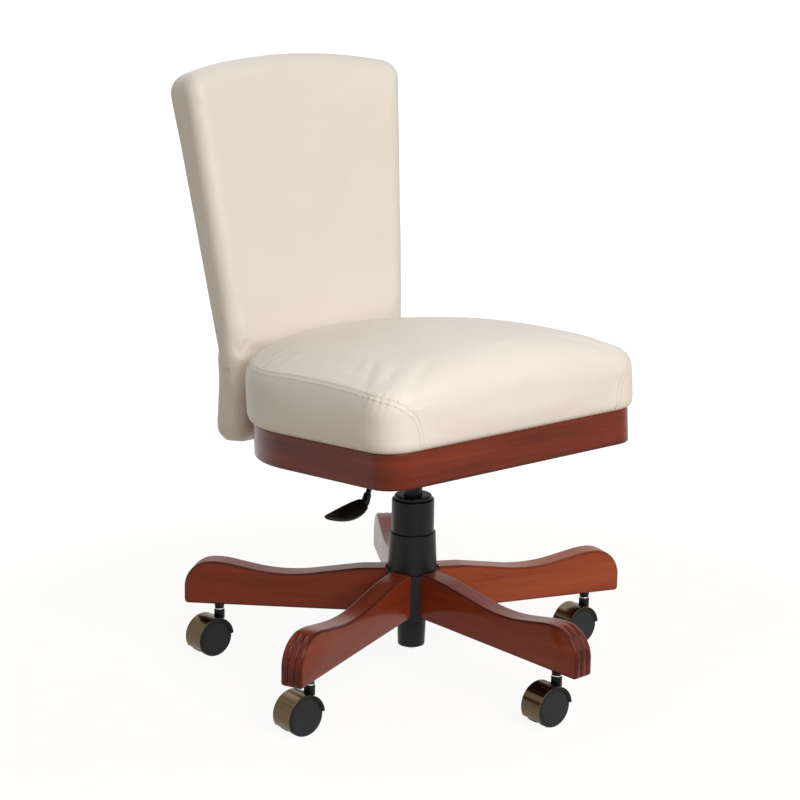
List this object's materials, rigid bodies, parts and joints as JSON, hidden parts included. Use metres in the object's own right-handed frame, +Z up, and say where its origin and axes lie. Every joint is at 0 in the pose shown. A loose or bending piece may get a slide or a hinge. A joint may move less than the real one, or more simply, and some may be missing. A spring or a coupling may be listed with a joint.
{
  "type": "swivel game chair",
  "caption": "Armless upholstered swivel chair with a wooden apron and wooden star base, gas lift with a height lever, and hooded twin-wheel casters.",
  "frame": {"origin": "on the floor, on the axis of the gas-lift column", "axes": "+Z up; the chair faces -Y; -X is the sitter's right, where the height lever is"},
  "size_m": [0.6892, 0.7434, 0.9165],
  "materials": {
    "cherry_wood": "satin lacquer over red-brown stain",
    "frame_wood": "plain plywood and hardwood",
    "cream_leather": "soft pebbled, low sheen",
    "cushion_foam": "foam",
    "black_metal": "satin black paint",
    "black_plastic": "fine moulded texture",
    "wheel_plastic": "smooth nylon",
    "bronze_hood": "antique bronze plate",
    "bright_steel": "bright plated",
    "zinc_steel": "zinc plated"
  },
  "bodies": {
    "base": {"leg_1": "cherry_wood", "leg_2": "cherry_wood", "leg_3": "cherry_wood", "leg_4": "cherry_wood", "leg_5": "cherry_wood", "hub": "black_metal", "hub_collar": "black_plastic", "leg_bolts": "zinc_steel", "caster_sockets": "black_metal", "caster_stems": "bright_steel", "column_tube": "black_metal", "column_cover": "black_plastic", "guide_bush": "black_plastic", "thrust_bearing": "bright_steel"},
    "gas_rod": {"piston_rod": "bright_steel", "piston": "zinc_steel", "retaining_clip": "zinc_steel"},
    "seat": {"gas_cylinder": "black_metal", "swivel_plate": "black_metal", "plate_bolts": "zinc_steel", "tee_nuts": "zinc_steel", "seat_board": "frame_wood", "apron": "cherry_wood", "corner_blocks": "frame_wood", "seat_foam": "cushion_foam", "seat_cover": "cream_leather", "back_board": "frame_wood", "back_foam": "cushion_foam", "back_cover": "cream_leather", "back_bolts": "zinc_steel", "back_spacers": "zinc_steel", "lever_pin": "zinc_steel"},
    "lever": {"lever_rod": "black_metal", "lever_paddle": "black_plastic"},
    "release": {"release_pin": "bright_steel"},
    "caster_1": {"caster_body_1": "black_plastic", "caster_hood_1": "bronze_hood", "caster_axle_1": "zinc_steel"},
    "wheel_left_1": {"wheel_left_1": "wheel_plastic"},
    "wheel_right_1": {"wheel_right_1": "wheel_plastic"},
    "caster_2": {"caster_body_2": "black_plastic", "caster_hood_2": "bronze_hood", "caster_axle_2": "zinc_steel"},
    "wheel_left_2": {"wheel_left_2": "wheel_plastic"},
    "wheel_right_2": {"wheel_right_2": "wheel_plastic"},
    "caster_3": {"caster_body_3": "black_plastic", "caster_hood_3": "bronze_hood", "caster_axle_3": "zinc_steel"},
    "wheel_left_3": {"wheel_left_3": "wheel_plastic"},
    "wheel_right_3": {"wheel_right_3": "wheel_plastic"},
    "caster_4": {"caster_body_4": "black_plastic", "caster_hood_4": "bronze_hood", "caster_axle_4": "zinc_steel"},
    "wheel_left_4": {"wheel_left_4": "wheel_plastic"},
    "wheel_right_4": {"wheel_right_4": "wheel_plastic"},
    "caster_5": {"caster_body_5": "black_plastic", "caster_hood_5": "bronze_hood", "caster_axle_5": "zinc_steel"},
    "wheel_left_5": {"wheel_left_5": "wheel_plastic"},
    "wheel_right_5": {"wheel_right_5": "wheel_plastic"}
  },
  "joints": [
    {"name": "seat_swivel", "type": "hinge", "parent": "base", "child": "gas_rod", "pos_m": [0, 0, 0.05], "axis": [0, 0, 1], "continuous": true},
    {"name": "seat_lift", "type": "slide", "parent": "gas_rod", "child": "seat", "axis": [0, 0, 1], "range_m": [0, 0.1]},
    {"name": "lever_lift", "type": "hinge", "parent": "seat", "child": "lever", "pos_m": [-0.04375, -0.01422, 0.367], "axis": [-0.309, 0.9511, 0], "range_deg": [0, 6], "stiffness_Nm_per_rad": 0.5, "springref_deg": -2.86},
    {"name": "release_press", "type": "slide", "parent": "seat", "child": "release", "axis": [0, 0, -1], "range_m": [0, 0.0053]},
    {"name": "caster_swivel_1", "type": "hinge", "parent": "base", "child": "caster_1", "pos_m": [0.16306, 0.25894, 0.07], "axis": [0, 0, 1], "continuous": true},
    {"name": "wheel_left_spin_1", "type": "hinge", "parent": "caster_1", "child": "wheel_left_1", "pos_m": [0.14426, 0.25894, 0.03], "axis": [0, 1, 0], "continuous": true},
    {"name": "wheel_right_spin_1", "type": "hinge", "parent": "caster_1", "child": "wheel_right_1", "pos_m": [0.14426, 0.25894, 0.03], "axis": [0, 1, 0], "continuous": true},
    {"name": "caster_swivel_2", "type": "hinge", "parent": "base", "child": "caster_2", "pos_m": [-0.19587, 0.23509, 0.07], "axis": [0, 0, 1], "continuous": true},
    {"name": "wheel_left_spin_2", "type": "hinge", "parent": "caster_2", "child": "wheel_left_2", "pos_m": [-0.21467, 0.23509, 0.03], "axis": [0, 1, 0], "continuous": true},
    {"name": "wheel_right_spin_2", "type": "hinge", "parent": "caster_2", "child": "wheel_right_2", "pos_m": [-0.21467, 0.23509, 0.03], "axis": [0, 1, 0], "continuous": true},
    {"name": "caster_swivel_3", "type": "hinge", "parent": "base", "child": "caster_3", "pos_m": [-0.28412, -0.11364, 0.07], "axis": [0, 0, 1], "continuous": true},
    {"name": "wheel_left_spin_3", "type": "hinge", "parent": "caster_3", "child": "wheel_left_3", "pos_m": [-0.30292, -0.11364, 0.03], "axis": [0, 1, 0], "continuous": true},
    {"name": "wheel_right_spin_3", "type": "hinge", "parent": "caster_3", "child": "wheel_right_3", "pos_m": [-0.30292, -0.11364, 0.03], "axis": [0, 1, 0], "continuous": true},
    {"name": "caster_swivel_4", "type": "hinge", "parent": "base", "child": "caster_4", "pos_m": [0.02028, -0.30533, 0.07], "axis": [0, 0, 1], "continuous": true},
    {"name": "wheel_left_spin_4", "type": "hinge", "parent": "caster_4", "child": "wheel_left_4", "pos_m": [0.00148, -0.30533, 0.03], "axis": [0, 1, 0], "continuous": true},
    {"name": "wheel_right_spin_4", "type": "hinge", "parent": "caster_4", "child": "wheel_right_4", "pos_m": [0.00148, -0.30533, 0.03], "axis": [0, 1, 0], "continuous": true},
    {"name": "caster_swivel_5", "type": "hinge", "parent": "base", "child": "caster_5", "pos_m": [0.29665, -0.07506, 0.07], "axis": [0, 0, 1], "continuous": true},
    {"name": "wheel_left_spin_5", "type": "hinge", "parent": "caster_5", "child": "wheel_left_5", "pos_m": [0.27785, -0.07506, 0.03], "axis": [0, 1, 0], "continuous": true},
    {"name": "wheel_right_spin_5", "type": "hinge", "parent": "caster_5", "child": "wheel_right_5", "pos_m": [0.27785, -0.07506, 0.03], "axis": [0, 1, 0], "continuous": true}
  ],
  "couplings": [
    {"joint": "release_press", "follows": "lever_lift", "m_per_rad": 0.05}
  ]
}
